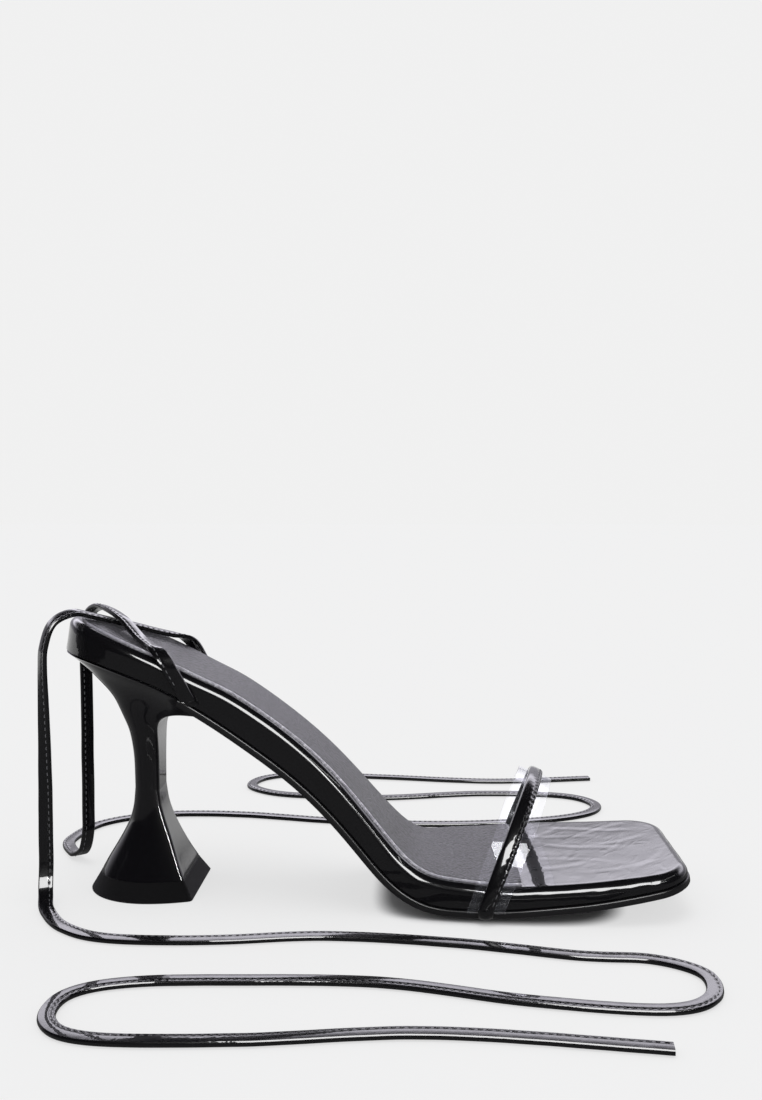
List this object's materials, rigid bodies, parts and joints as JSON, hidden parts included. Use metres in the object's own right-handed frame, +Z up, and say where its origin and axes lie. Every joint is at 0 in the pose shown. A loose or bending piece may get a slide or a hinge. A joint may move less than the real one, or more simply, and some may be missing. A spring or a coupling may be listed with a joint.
{
  "type": "lace up heeled sandal",
  "caption": "High heeled sandal with a square toe, flared block heel, clear band and narrow strap over the ball of the foot, and two long flat ties that wrap the ankle.",
  "frame": {"origin": "on the floor, in the middle of the shoe's length and width, the ties left out", "axes": "+X points to the toe, +Y to the inner (medial) side of the right foot, +Z up"},
  "size_m": [0.2518, 0.2876, 0.1083],
  "materials": {
    "outsole": "black satin sole sheet",
    "footbed_patent": "black patent wrapped over the platform, glossy with fine wrinkles",
    "sock_lining": "dark grey matt lining with a fine grain",
    "heel_lacquer": "black gloss lacquer",
    "top_piece_rubber": "black matt rubber",
    "clear_vinyl": "clear glossy vinyl",
    "strap_patent": "black patent, padded, stitched along one edge",
    "tie_patent": "black patent folded flat, stitched along one edge"
  },
  "bodies": {
    "root": {"outsole": "outsole", "footbed": "footbed_patent", "sock": "sock_lining", "heel": "heel_lacquer", "top_piece": "top_piece_rubber", "strap_clear": "clear_vinyl", "strap_patent": "strap_patent", "tie_lateral": "tie_patent", "tie_medial": "tie_patent"}
  },
  "joints": []
}
